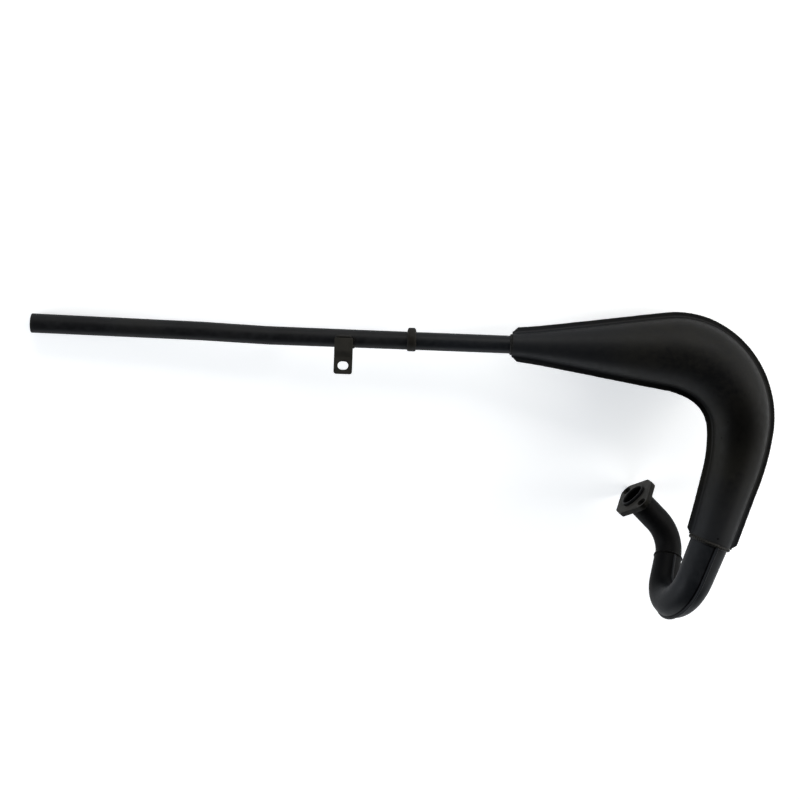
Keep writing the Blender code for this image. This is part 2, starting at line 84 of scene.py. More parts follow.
SEAM_BEAD_RIPPLE = 0.16 * MM
SEAM_BEAD_SHORT = 0.8 * MM  # at each end of the seam
RIM_WANDER = (0.15 * MM, 21 * MM)  # how far a flange's cut edge strays, over what length

# Elbow
ELBOW_ROLL = math.radians(73.7)
ELBOW_IN = 43.5 * MM
ELBOW_BEND = (35.5 * MM, math.radians(153))
ELBOW_OUT = 27 * MM
ELBOW_RADII = ((0.0, 21.2 * MM), (0.5, 18.9 * MM), (1.0, 15.6 * MM))  # share of its length, outer radius
OUTER_RIB = (3.6 * MM, 2.6 * MM)  # width, height
INNER_RIB = (3.0 * MM, 1.0 * MM)
RIB_SHORT = 0.5 * MM  # at each end of a rib
RIB_RUN_OUT = 4 * MM
RIB_ROOT = 0.9 * MM
RIB_RIPPLE = (0.07 * MM, 2.6 * MM)  # height, pitch

# Header tube and flange
HEADER_R = 15 * MM
HEADER_LEAD = 2 * MM
HEADER_BEND_RADIUS = 39 * MM
HEADER_LENGTH = 43 * MM
HEADER_EXIT = Vector((-0.690, 0.702, 0.175))
SPIGOT = 3.3 * MM
FLANGE_THICKNESS = 6 * MM
FLANGE_LONG_AXIS = Vector((0.1125, -0.134, 0.985))
LOBE_SPACING = 66 * MM
LOBE_R = 9.5 * MM
FLANGE_HALF_WIDTH = 26 * MM
FLANGE_FLAT = 14 * MM
FLANGE_CORNER_R = 7 * MM
SLOT = (9.5 * MM, 14 * MM)  # width, length
FLANGE_EDGE = 0.5 * MM

# Stinger, tail tube, collar
TAIL_RISE = math.radians(2.2)
TAIL_R = 10 * MM
TAIL_TIP_R = 10.8 * MM
STINGER_INSIDE = 10 * MM
STINGER_LENGTH = 111.6 * MM
TAIL_STRAIGHT = 151 * MM
KINK_RADIUS = 600 * MM
KINK_UP = math.radians(1.5)
KINK_LENGTH = 62 * MM
KINK_DOWN = math.radians(1)
TAIL_END = 182.6 * MM
COLLAR_HEIGHT = 3.1 * MM
COLLAR_WIDTH = 10 * MM
COLLAR_ECCENTRICITY = 0.45
COLLAR_EDGE = 2.6 * MM

# Bracket
BRACKET_FROM_COLLAR = 74.75 * MM
BRACKET_WIDTH = 20.5 * MM
BRACKET_LENGTH = 40 * MM
BRACKET_THICKNESS = 3 * MM
BRACKET_STEP = 3 * MM
BRACKET_STEP_FROM = 14 * MM
BRACKET_STEP_TO = 22 * MM
BRACKET_CORNER_R = 3 * MM
BRACKET_TOP_CORNER_R = 1.2 * MM
BRACKET_EDGE = 0.45 * MM
BRACKET_SLOT = (9.0 * MM, 11.8 * MM)
BRACKET_SLOT_FROM_TOP = 30.5 * MM

# The side that a bend turns to, as a roll from local Y
INWARD = math.pi
UP, DOWN = math.pi, 0.0

# Weld rings: width, height, pitch of the ripples, then how far each lies past the joint
ELBOW_CHAMBER_BEAD = (4.6 * MM, 2.2 * MM, 2.6 * MM)
ELBOW_CHAMBER_BEAD_PAST = 1.4 * MM
HEADER_ELBOW_BEAD = (3.0 * MM, 1.3 * MM, 2.2 * MM)
HEADER_ELBOW_BEAD_PAST = 0.2 * MM
FLANGE_BEAD = (4.4 * MM, 2.4 * MM, 2.4 * MM)
FLANGE_BEAD_PAST = 1.3 * MM
NECK_BEAD = (3.4 * MM, 1.5 * MM, 2.0 * MM)
NECK_BEAD_PAST = 1.0 * MM

# Bracket welds: angle round the tube, places across the strip, width and height
BRACKET_TOP_BEAD = (97, (-0.40, -0.1, 0.2, 0.46), (4.2 * MM, 1.9 * MM))
BRACKET_CORNER_BEAD = (84, (-0.52, -0.60), (4.6 * MM, 2.6 * MM))
BRACKET_BACK_BEAD = (36, (-0.62, -0.2, 0.2, 0.5), (5.0 * MM, 3.0 * MM))
BRACKET_BEAD_PITCH = 2.2 * MM

# How a weld looks; a pair is how much it varies, and over what length
RIPPLE_BOW = 0.30  # how far a ripple bows along the weld at its sides, as a share of the pitch
RIPPLE_STRAY = (0.25, 9 * MM)  # share of the pitch
RIPPLE_POWER = 2.4  # the higher it is, the flatter a ripple's top
RING_RIPPLE = 0.28  # ripple's height, as a share of the weld's
LINE_RIPPLE = 0.25
WELD_SWELL = (0.14, 5 * MM)  # share of its size
WELD_DRIFT = (0.12, 7 * MM)  # share of its width
WELD_ROOT = 0.45  # depth below the surface, as a share of its height

# Fineness of the meshes
WELD_STEPS = 7  # rows in one ripple of a weld
WELD_POINTS = 18
SEAM_POINTS = 12
SEAM_STEP = 0.36 * MM
RIB_STEP = 0.5 * MM
SHELL_STEP = 2 * MM
PLATE_SEGMENTS = 14
PIPE_SIDES = 72
PIPE_STEP = 2.5 * MM
COLLAR_SIDES = 96
BRACKET_CUTS = 11
SHARP = 38  # degrees between faces, past which an edge shows
COLLAR_SHARP = 60
BEAD_SHARP = 80

# Unevenness of the sheet, then painted shade, paler bluish patches and dark dots on the paint
PRESSING_WAVE = (0.12 * MM, 26 * MM)  # height, length
ELBOW_PAINTED_SHADE = 0.8  # painted shade on the elbow's far leg, darkest towards the cylinder
ELBOW_SHADE_FROM = (0.50, 0.25)  # share of the elbow where its painted shade begins, and over which it deepens
# painted shade on the outside of the header tube
HEADER_PAINTED_SHADE = 0.75
# painted shade on the weld between the header and the elbow
HEADER_BEAD_PAINTED_SHADE = 0.9
BEND_PAINTED_SHADE = (305 * MM, 70 * MM, 0.75)  # painted shade on the bend's crown: its middle along the chamber, half length, depth
BEND_SHADE_CROWN = (0.55, 0.40)  # height on the shell where the painted shade begins, and over which it deepens towards the crown
RIB_SHADOW = (3.6 * MM, 0.9)  # width, depth
# how dark the plates' outer side walls are painted; the walls of their holes and slots get painted shade,
# fully dark
PLATE_SIDE_DARKNESS = 0.6
# lengths from the neck and from the elbow end over which the chamber's paint turns paler and bluer
PALER_FROM_NECK = 190 * MM
PALER_FROM_ELBOW = 85 * MM
BODY_DARK_DOTS = (  # small dark spots: place on the finished exhaust, radius
    ((0.3548, 0.0652, 0.0957), 1.15 * MM),
    ((0.3491, 0.0463, 0.0970), 0.9 * MM),
    ((0.3434, -0.0511, 0.1495), 1.3 * MM),
)

# Paint: scales of its noises, then colours as linear red, green, blue and alpha
CLOUD, MOTTLE, GRAIN, SPECK = 14, 150, 1500, 640
SHEEN = 0.11
OLIVE = (0.0066, 0.0062, 0.0044, 1)
# paler, bluer tone of the paint near the neck and the elbow end
PALE_BLUE = (0.0086, 0.0094, 0.0112, 1)
# near black, for soot inside the tubes and for painted shade
SOOT_AND_SHADE_BLACK = (0.0005, 0.0005, 0.0006, 1)
DUST = (0.016, 0.0155, 0.0145, 1)
RUBBED = (0.018, 0.0170, 0.0145, 1)

# Stage
FLOOR_SIDE = 6.0
FLOOR_GLOW = 0.50  # the paper lies on a dim light table
SKY_FADE = (0.02, 0.60, 0.90, 0.04)  # two heights and their strengths: pale low down, dim overhead
WARM, COOL = (1.0, 0.98, 0.93), (0.92, 0.96, 1.0)
LIGHTS_AIM = (0.0, 0.0, 0.05)
LIGHTS = (  # name, place, size, power, colour
    ("window_light", (0.6, 2.3, 0.80), (2.6, 0.9), 50, WARM),
    ("left_light", (-2.2, 0.1, 0.75), (1.2, 1.2), 26, COOL),
    ("right_light", (2.2, 0.3, 0.75), (0.9, 1.2), 34, WARM),
    ("back_light", (0.0, -2.1, 0.75), (2.4, 0.9), 22, COOL),
)
CAMERA_PLACE = Vector((-124.9, -61.4, 1800)) * MM
CAMERA_LENS = 72.97


# ---------------------------------------------------------------- centrelines

class Route:
    """A centreline of straight runs and round bends. A frame on it has X along the line."""

    def __init__(self, start):
        self.runs = []
        self.end = start
        self.length = 0.0

    def add(self, length, radius=None, roll=0.0):
        self.runs.append((self.length, length, radius, roll, self.end))
        self.length += length
        self.end = self.at(self.length)

    def straight(self, length):
        self.add(length)

    def bend(self, radius, angle, roll):
        """Turn towards the side that lies at roll from local Y."""
        self.add(radius * angle, radius, roll)

    def bend_towards(self, radius, target):
        local = self.end.to_3x3().inverted() @ target.normalized()
        self.bend(radius, Vector((1, 0, 0)).angle(local), math.atan2(local.z, local.y))

    def at(self, distance):
        """The frame at a distance along the line. Past an end the line runs on as it was."""
        run = next((r for r in self.runs if distance <= r[0] + r[1]), self.runs[-1])
        begin, length, radius, roll, start = run
        travelled = distance - begin
        if radius is None:
            return start @ Matrix.Translation((travelled, 0, 0))
        inward = Vector((0, math.cos(roll), math.sin(roll)))
        swing = Matrix.Rotation(travelled / radius, 4, Vector((1, 0, 0)).cross(inward))
        centre = inward * radius
        return start @ Matrix.Translation(centre) @ swing @ Matrix.Translation(-centre)


def frame_from(origin, ahead, up):
    x_axis = ahead.normalized()
    y_axis = up.cross(x_axis).normalized()
    z_axis = x_axis.cross(y_axis)
    return Matrix.Translation(origin) @ Matrix((x_axis, y_axis, z_axis)).transposed().to_4x4()


def chamber_route():
    ahead = Vector((math.cos(NECK_SLOPE), math.sin(NECK_SLOPE), 0))
    route = Route(frame_from(Vector((0, NECK_OFFSET, 0)), ahead, Vector((0, 0, 1))))
    route.straight(CONE_LENGTH)
    route.bend(*BEND, INWARD)
    route.bend(*SWEEP, INWARD)
    route.straight(LOWER_LENGTH)
    route.bend(*END_BEND, INWARD)
    return route


def elbow_route(chamber_end):
    route = Route(chamber_end @ Matrix.Rotation(ELBOW_ROLL, 4, "X") @ Matrix.Translation((GAP, 0, 0)))
    route.straight(ELBOW_IN)
    route.bend(*ELBOW_BEND, INWARD)
    route.straight(ELBOW_OUT)
    return route


def header_route(elbow_end):
    route = Route(elbow_end @ Matrix.Translation((GAP, 0, 0)))
    route.straight(HEADER_LEAD)
    route.bend_towards(HEADER_BEND_RADIUS, HEADER_EXIT)
    route.straight(HEADER_LENGTH)
    return route


def stinger_route():
    ahead = Vector((-math.cos(TAIL_RISE), math.sin(TAIL_RISE), 0))
    neck = frame_from(Vector((0, 0, 0)), ahead, Vector((0, 0, 1)))
    route = Route(neck @ Matrix.Translation((-STINGER_INSIDE, 0, 0)))
    route.straight(STINGER_INSIDE + STINGER_LENGTH)
    return route


def tail_route(joint):
    route = Route(joint @ Matrix.Translation((GAP, 0, 0)))
    route.straight(TAIL_STRAIGHT)
    route.bend(KINK_RADIUS, KINK_UP, UP)
    route.straight(KINK_LENGTH)
    route.bend(KINK_RADIUS, KINK_DOWN, DOWN)
    route.straight(TAIL_END)
    return route


# ---------------------------------------------------------------- numbers

def interpolate(stations, where):
    """Smooth curve through (place, value) stations: cubic pieces with averaged end slopes."""
    places = [place for place, value in stations]
    values = [value for place, value in stations]
    last = len(stations) - 1
    where = min(max(where, places[0]), places[-1])

    def slope(i):
        low, high = max(i - 1, 0), min(i + 1, last)
        return (values[high] - values[low]) / (places[high] - places[low])

    i = 0
    while i < last - 1 and where > places[i + 1]:
        i += 1
    width = places[i + 1] - places[i]
    t = (where - places[i]) / width
    start = (1 + 2 * t) * (1 - t) ** 2 * values[i] + t * (1 - t) ** 2 * width * slope(i)
    end = t ** 2 * (3 - 2 * t) * values[i + 1] - t ** 2 * (1 - t) * width * slope(i + 1)
    return start + end


def steps(start, end, size):
    """Evenly spaced values from start to end, no further apart than size."""
    return np.linspace(start, end, max(2, int(math.ceil(abs(end - start) / size)) + 1))


def ease(share):
    share = min(max(share, 0.0), 1.0)
    return share * share * (3 - 2 * share)


def wander(where, grain, seed):
    """A smooth number from -1 to 1 that changes over a length of about grain."""
    return noise.noise(Vector((where / grain, seed * 7.31, 0.5)))


def lip_inset(from_end):
    """How far a cut edge has drawn in at this distance from its end."""
    if from_end >= LIP:
        return 0.0
    rest = LIP - max(from_end, 0.0)
    return LIP - math.sqrt(LIP ** 2 - rest ** 2)


def lip_steps(length, size):
    """Distances along a part, close together where its two ends are rounded."""
    near = [LIP * (1 - math.cos(math.radians(a))) for a in (0, 30, 60, 90)]
    middle = list(steps(LIP, length - LIP, size))[1:-1]
    return near + middle + [length - d for d in reversed(near)]


# ---------------------------------------------------------------- meshes

def grid_mesh(name, rows, closed_rows=False, caps=False, ends=0, wear=None, soot_and_shade=None):
    """A mesh of rows of points, each row closed on itself.

    closed_rows joins the last row to the first, and caps closes both with one face. ends closes them
    with a strip of faces, where the first half of a row runs out and the second half runs back.
    """
    points = np.asarray(rows, dtype=float)
    count, around, _ = points.shape
    index = np.arange(count * around).reshape(count, around)
    index = np.concatenate([index, index[:, :1]], axis=1)
    if closed_rows:
        index = np.concatenate([index, index[:1]], axis=0)
    quads = np.stack([index[:-1, :-1], index[:-1, 1:], index[1:, 1:], index[1:, :-1]], axis=-1)
    faces = quads.reshape(-1, 4).tolist()
    if caps:
        faces += [index[0, :-1][::-1].tolist(), index[-1, :-1].tolist()]
    for row in (index[0], index[-1]) if ends else ():
        faces += [[row[i], row[i + 1], row[2 * ends - 2 - i], row[2 * ends - 1 - i]]
                  for i in range(ends - 1)]
    mesh = bpy.data.meshes.new(name)
    mesh.from_pydata(points.reshape(-1, 3).tolist(), [], faces)
    for label, values in (("wear", wear), ("soot_and_shade", soot_and_shade)):
        layer = mesh.attributes.new(label, "FLOAT", "POINT")
        if values is not None:
            layer.data.foreach_set("value", np.asarray(values, dtype=np.float32).ravel())
    return mesh


def tidy_normals(mesh):
    shape = bmesh.new()
    shape.from_mesh(mesh)
    bmesh.ops.recalc_face_normals(shape, faces=shape.faces)
    shape.to_mesh(mesh)
    shape.free()


def add_piece(name, mesh, material, node, sharp=SHARP):
    """Lay a mesh down with the exhaust, and let it stand for its CAD node."""
    piece = bpy.data.objects.new(name, mesh)
    bpy.context.scene.collection.objects.link(piece)
    tidy_normals(mesh)
    mesh.transform(REST)
    mesh.materials.append(material)
    mesh.shade_smooth()
    mesh.set_sharp_from_angle(angle=math.radians(sharp))
    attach(piece, "root")
    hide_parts(node)
    return piece


def circle_row(place, radius, sides):
    """Points round a frame's X axis; radius is one number, or one for each side."""
    turn = np.linspace(0, 2 * math.pi, sides, endpoint=False)
    centre, across, up = (np.array(place.col[i].xyz) for i in (3, 1, 2))
    radius = np.broadcast_to(radius, turn.shape)
    return centre + np.outer(radius * np.cos(turn), across) + np.outer(radius * np.sin(turn), up)


def pipe_mesh(name, route, radius_at, soot_and_shade=0.0):
    """An open tube with rounded ends, its inside and outside in one skin, sooty within; its outside can
    be given painted shade.
    """
    rows, wear, dark = [], [], []
    distances = lip_steps(route.length, PIPE_STEP)
    for inside in (False, True):
        for distance in reversed(distances) if inside else distances:
            inset = lip_inset(min(distance, route.length - distance))
            radius = radius_at(distance) - (TUBE_WALL - inset if inside else inset)
            rows.append(circle_row(route.at(distance), radius, PIPE_SIDES))
            edge = min(distance, route.length - distance) < 2 * LIP
            wear.append(np.full(PIPE_SIDES, 1.0 if edge else 0.0))
            # soot inside; painted shade outside, as deep as given; none at the rounded ends
            dark.append(np.full(PIPE_SIDES, 0.0 if edge else 1.0 if inside else soot_and_shade))
    return grid_mesh(name, rows, closed_rows=True, wear=wear, soot_and_shade=dark)


def scallop(along, across, pitch, seed):
    """How high a weld stands at a place: overlapping crescents, each a little different."""
    stray, over = RIPPLE_STRAY
    place = along / pitch + RIPPLE_BOW * across ** 2 + stray * wander(along, over, seed)
    number = math.floor(place)
    share = place - number
    height = 1.0 - abs(2 * share - 1) ** RIPPLE_POWER
    chance = math.sin(number * 12.9898 + seed * 78.233) * 43758.5453 % 1.0  # as good as random
    return height * (0.75 + 0.5 * chance)


def weld_section(along, width, height, pitch, ripple, seed, points):
    """A weld's cross section as (across, up), closed: a rippled crown over a sunk root."""
    swell = 1 + WELD_SWELL[0] * wander(along, WELD_SWELL[1], seed + 1)
    drift = WELD_DRIFT[0] * width * wander(along, WELD_DRIFT[1], seed + 2)
    section = []
    for i in range(points):
        turn = 2 * math.pi * i / points
        across, up = math.cos(turn), math.sin(turn)
        lift = ripple * scallop(along, across, pitch, seed) * max(up, 0.0)
        section.append((drift + swell * width / 2 * across,
                        swell * (height if up > 0 else WELD_ROOT * height) * up + lift))
    return section


def weld_ring(name, route, distance, tube_radius, width, height, pitch, seed, soot_and_shade=0.0):
    """A rippled weld round a tube, square to its line; the last argument paints shade on it."""
    place = route.at(distance)
    around = 2 * math.pi * tube_radius
    pitch = around / round(around / pitch)
    centre, ahead, across, up = (np.array(place.col[i].xyz) for i in (3, 0, 1, 2))
    rows = []
    for along in np.linspace(0, around, int(around / pitch) * WELD_STEPS, endpoint=False):
        turn = along / tube_radius
        out = math.cos(turn) * across + math.sin(turn) * up
        section = weld_section(along, width, height, pitch, RING_RIPPLE * height, seed, WELD_POINTS)
        rows.append([centre + ahead * x + out * (tube_radius + y) for x, y in section])
    return grid_mesh(name, rows, closed_rows=True, soot_and_shade=np.full((len(rows), WELD_POINTS), soot_and_shade))


def weld_line(name, points, out_of, width, height, pitch, seed):
    """A rippled weld along a few points, with round ends; out_of is the point it stands away from."""
    corners = [Vector(p) for p in points]
    lengths = [(b - a).length for a, b in zip(corners, corners[1:])]
    total = sum(lengths)
    places = [sum(lengths[:i]) for i in range(len(corners))]
    curves = [list(zip(places, [c[k] for c in corners])) for k in range(3)]
    rows = []
    for along in steps(0, total, pitch / WELD_STEPS):
        here = Vector([interpolate(c, along) for c in curves])
        ahead = Vector([interpolate(c, along + 0.05 * MM) for c in curves])
        before = Vector([interpolate(c, along - 0.05 * MM) for c in curves])
        heading = (ahead - before).normalized()
        out = out_of(here)
        out = (out - heading * out.dot(heading)).normalized()
        side = heading.cross(out)
        end = min(along, total - along) / (0.5 * width)
        taper = math.sqrt(max(1 - (1 - min(end, 1.0)) ** 2, 0.0004))
        section = weld_section(along, width, height, pitch, LINE_RIPPLE * height, seed, WELD_POINTS)
        rows.append([here + side * x * taper + out * y * taper for x, y in section])
    return grid_mesh(name, rows, caps=True)


def arc_points(centre, radius, start, end, segments):
    angles = [start + (end - start) * i / segments for i in range(segments + 1)]
    return [(centre[0] + radius * math.cos(a), centre[1] + radius * math.sin(a)) for a in angles]


def belt_outline(circles, segments):
    """The outline of a belt round circles (x, y, radius) that are listed anticlockwise."""
    normals = []
    for (x0, y0, r0), (x1, y1, r1) in zip(circles, circles[1:] + circles[:1]):
        length = math.hypot(x1 - x0, y1 - y0)
        normals.append(math.atan2(y1 - y0, x1 - x0) - math.pi / 2 + math.asin((r0 - r1) / length))
    outline = []
    for i, (x, y, radius) in enumerate(circles):
        start, end = normals[i - 1], normals[i]
        while end < start:
            end += 2 * math.pi
        outline += arc_points((x, y), radius, start, end, segments)
    return outline


def grown(circles, more):
    return [(x, y, radius + more) for x, y, radius in circles]


def slot_circles(centre, width, length, angle=0.0):
    """The two end circles of a slot; its length lies along Y before it is turned by angle."""
    reach = (length - width) / 2
    along = (-math.sin(angle) * reach, math.cos(angle) * reach)
    return [(centre[0] - along[0], centre[1] - along[1], width / 2),
            (centre[0] + along[0], centre[1] + along[1], width / 2)]


def plate_mesh(name, outline, holes, thickness, edge):
    """A flat plate from z = 0 to thickness with rounded edges; outline and holes are belts of circles."""
    shape = bmesh.new()
    worn = shape.verts.layers.float.new("wear")
    painted_shade_layer = shape.verts.layers.float.new("soot_and_shade")
    levels = [(thickness - edge * (1 - math.sin(a)), edge * (1 - math.cos(a)))
              for a in (math.radians(d) for d in (90, 60, 30, 0))]
    levels += [(thickness - z, inset) for z, inset in reversed(levels)]
    top_edges, bottom_edges = [], []
    loops = [(outline, -1.0)] + [(hole, 1.0) for hole in holes]
    for circles, way in loops:
        rings = []
        for z, inset in levels:
            points = belt_outline(grown(circles, way * inset), PLATE_SEGMENTS)
            rings.append([shape.verts.new((x, y, z)) for x, y in points])
        count = len(rings[0])
        for near, far in zip(rings, rings[1:]):
            for i in range(count):
                shape.faces.new((near[i], near[(i + 1) % count], far[(i + 1) % count], far[i]))
        # painted shade in the holes and slots, fully dark; the outer side walls partly darker; the
        # rounded edges and faces not
        for ring, (z, inset) in zip(rings, levels):
            for vert in ring:
                vert[worn] = 1.0
                vert[painted_shade_layer] = 0.0 if inset > 0.1 * MM else 1.0 if way > 0 else PLATE_SIDE_DARKNESS
        for ring, edges in ((rings[0], top_edges), (rings[-1], bottom_edges)):
            edges += [shape.edges.get((ring[i], ring[(i + 1) % count])) for i in range(count)]
    for edges in (top_edges, bottom_edges):
        bmesh.ops.triangle_fill(shape, use_beauty=True, use_dissolve=False, edges=edges)
    bmesh.ops.recalc_face_normals(shape, faces=shape.faces)
    mesh = bpy.data.meshes.new(name)
    shape.to_mesh(mesh)
    shape.free()
    return mesh


# ---------------------------------------------------------------- chamber

def seam_width(distance, total):
    ramp = min(min(distance, total - distance) / SEAM_END_LENGTH, 1.0)
    stray, over = RIM_WANDER
    return SEAM_END_WIDTH + (SEAM_WIDTH - SEAM_END_WIDTH) * ramp + stray * wander(distance, over, 3)


def shell_path(radius, edge):
    """A pressing's outer face as (y, z, normal y, normal z), from one seam edge over to the other."""
    outer = radius + SHEET
    flat = GAP / 2 + SHEET
    centre_z = flat + SEAM_FILLET
    centre_y = math.sqrt((outer + SEAM_FILLET) ** 2 - centre_z ** 2)
    lift = math.atan2(centre_z, centre_y)
    path = [(edge + (centre_y - edge) * i / 5, flat, 0.0, 1.0) for i in range(5)]
    for i in range(7):
        turn = -math.pi / 2 - (math.pi / 2 - lift) * i / 6
        path.append((centre_y + SEAM_FILLET * math.cos(turn), centre_z + SEAM_FILLET * math.sin(turn),
                     -math.cos(turn), -math.sin(turn)))
    wall = [lift + (math.pi / 2 - lift) * i / 26 for i in range(1, 27)]
    path += [(outer * math.cos(a), outer * math.sin(a), math.cos(a), math.sin(a)) for a in wall]
    return path + [(-y, z, -ny, nz) for y, z, ny, nz in reversed(path[:-1])]


def thick_section(path, inset):
    """A closed loop: along the path's outer face and back along its inner face."""
    outer = [(y - ny * inset, z - nz * inset) for y, z, ny, nz in path]
    inner = [(y - ny * (SHEET - inset), z - nz * (SHEET - inset)) for y, z, ny, nz in path]
    return outer + inner[::-1]


def shell_mesh(name, route, side, path_at, weight_at, painted_shade_at, rubbed_rim):
    """One pressed half: a thick open section along a route. side 1 is the half on local +Z. The painted
    shade at each point comes from a function of distance and height.
    """
    rows, wear, soot_and_shade = [], [], []
    total = route.length
    height, length = PRESSING_WAVE
    for distance in lip_steps(total, SHELL_STEP):
        inset = lip_inset(min(distance, total - distance))
        path = path_at(distance, inset)
        place = route.at(distance)
        turn = place.to_3x3()
        row = []
        for i, (y, z) in enumerate(thick_section(path, inset)):
            on_path = min(i, 2 * len(path) - 1 - i)
            point = place @ Vector((0, y, side * z))
            wave = height * weight_at(on_path, len(path))
            out = turn @ Vector((0, y, side * z)).normalized()
            row.append(point + out * wave * noise.noise(point / length))
            at_end = min(distance, total - distance) < 2 * LIP
            at_rim = rubbed_rim and on_path in (0, len(path) - 1)
            wear.append(1.0 if at_end or at_rim else 0.0)
            soot_and_shade.append(painted_shade_at(distance, z))
        rows.append(row)
    return grid_mesh(name, rows, ends=len(row) // 2, wear=wear, soot_and_shade=soot_and_shade)


def chamber_shell_mesh(name, route, side):
    total = route.length

    def path_at(distance, inset):
        radius = interpolate(CHAMBER_RADII, distance)
        return shell_path(radius, radius + seam_width(distance, total) - inset)

    def weight_at(i, count):
        return min(max((min(i, count - 1 - i) - 11) / 8, 0.0), 1.0)

    # painted shade on the crown round the bend
    def painted_shade_at(distance, z):
        middle, reach, depth = BEND_PAINTED_SHADE
        begin, over = BEND_SHADE_CROWN
        crown = ease((z / interpolate(CHAMBER_RADII, distance) - begin) / over)
        # paler, bluer paint near the neck and near the elbow end, as negative values
        paler = max(ease(1 - distance / PALER_FROM_NECK), ease(1 - (total - distance) / PALER_FROM_ELBOW))
        return depth * crown * ease(1 - abs(distance - middle) / reach) - paler

    return shell_mesh(name, route, side, path_at, weight_at, painted_shade_at, True)


def chamber_seam_mesh(name, route, side, seed):
    """The flat rippled weld along the flanges' edge; side 1 is the outside of the bend."""
    rows = []
    total = route.length
    for distance in steps(SEAM_BEAD_SHORT, total - SEAM_BEAD_SHORT, SEAM_STEP):
        radius = interpolate(CHAMBER_RADII, distance)
        edge = radius + seam_width(distance, total)
        place = route.at(distance)
        section = weld_section(distance, SEAM_BEAD_HEIGHT, SEAM_BEAD_DEPTH + GAP, SEAM_BEAD_PITCH,
                               SEAM_BEAD_RIPPLE, seed, SEAM_POINTS)
        rows.append([place @ Vector((0, side * (edge + y), x)) for x, y in section])
    return grid_mesh(name, rows, caps=True)


def build_chamber(route, paint, weld):
    for name, node, side in (("chamber_front_pressing", "chamber_shell_front", 1),
                             ("chamber_back_pressing", "chamber_shell_back", -1)):
        add_piece(name, chamber_shell_mesh(name, route, side), paint, node)
    for name, node, side, seed in (("chamber_outer_seam", "chamber_outer_seam_weld", 1, 4),
                                   ("chamber_inner_seam", "chamber_inner_seam_weld", -1, 5)):
        mesh = chamber_seam_mesh(name, route, side, seed)
        add_piece(name, mesh, weld, node, BEAD_SHARP)


# ---------------------------------------------------------------- elbow

def elbow_shell_mesh(name, route, side):
    total = route.length

    def path_at(distance, inset):
        radius = interpolate(ELBOW_RADII, distance / total)
        edge = math.asin(GAP / 2 / radius)
        turns = [edge + (math.pi - 2 * edge) * i / 48 for i in range(49)]
        return [(radius * math.cos(a), radius * math.sin(a), math.cos(a), math.sin(a)) for a in turns]

    # painted shade beside the outer rib, and deepening along the elbow towards the cylinder
    def painted_shade_at(distance, z):
        reach, depth = RIB_SHADOW
        beside_rib = side > 0 and z < reach
        begin, over = ELBOW_SHADE_FROM
        return max(depth if beside_rib else 0.0, ELBOW_PAINTED_SHADE * ease((distance / total - begin) / over))

    return shell_mesh(name, route, side, path_at, lambda i, count: 1.0, painted_shade_at, False)


def elbow_rib_mesh(name, route, side, width, height, seed):
    """The dressed weld over the joint of the two halves; side 1 is the outside of the bend."""
    rows = []
    total = route.length
    ripple_height, pitch = RIB_RIPPLE
    for distance in steps(RIB_SHORT, total - RIB_SHORT, RIB_STEP):
        radius = interpolate(ELBOW_RADII, distance / total)
        place = route.at(distance)
        from_end = min(min(distance, total - distance) / RIB_RUN_OUT, 1.0)
        taper = math.sin(from_end * math.pi / 2) ** 0.5
        tall = height * taper * (1 + 0.10 * wander(distance, 12 * MM, seed))
        wide = width * (1 + 0.10 * wander(distance, 9 * MM, seed + 1))
        drift = 0.25 * MM * wander(distance, 15 * MM, seed + 2)
        row = []
        for i in range(17):
            share = i / 8 - 1
            ripple = ripple_height * scallop(distance, share, pitch, seed)
            crown = (1 - share ** 2) ** 0.8
            row.append((drift + share * wide / 2, radius + (tall + ripple) * crown))
        row += [(drift + wide * 0.4, radius - RIB_ROOT), (drift - wide * 0.4, radius - RIB_ROOT)]
        rows.append([place @ Vector((0, side * math.sqrt(y ** 2 - z ** 2), z)) for z, y in row])
    return grid_mesh(name, rows, caps=True)


def build_elbow(route, paint, weld):
    for name, node, side in (("elbow_left_pressing", "elbow_shell_left", 1),
                             ("elbow_right_pressing", "elbow_shell_right", -1)):
        add_piece(name, elbow_shell_mesh(name, route, side), paint, node)
    outer = elbow_rib_mesh("elbow_outer_rib", route, 1, *OUTER_RIB, seed=11)
    inner = elbow_rib_mesh("elbow_inner_rib", route, -1, *INNER_RIB, seed=12)
    add_piece("elbow_outer_rib", outer, paint, "elbow_outer_seam_weld", BEAD_SHARP)
    add_piece("elbow_inner_rib", inner, paint, "elbow_inner_seam_weld", BEAD_SHARP)
    ring = weld_ring("elbow_chamber_bead", route, ELBOW_CHAMBER_BEAD_PAST, ELBOW_RADII[0][1],
                     *ELBOW_CHAMBER_BEAD, seed=21)
    add_piece("elbow_chamber_bead", ring, weld, "elbow_chamber_weld", BEAD_SHARP)


# ---------------------------------------------------------------- header tube and flange

def flange_place(spigot_end):
    """The plate's frame: Z out of its front face, Y along the line of its slots."""
    normal = HEADER_EXIT.normalized()
    x_axis = FLANGE_LONG_AXIS.cross(normal).normalized()
    turn = Matrix((x_axis, normal.cross(x_axis), normal)).transposed().to_4x4()
    corner = Matrix.Translation(spigot_end - normal * (SPIGOT + FLANGE_THICKNESS))
    return corner @ turn


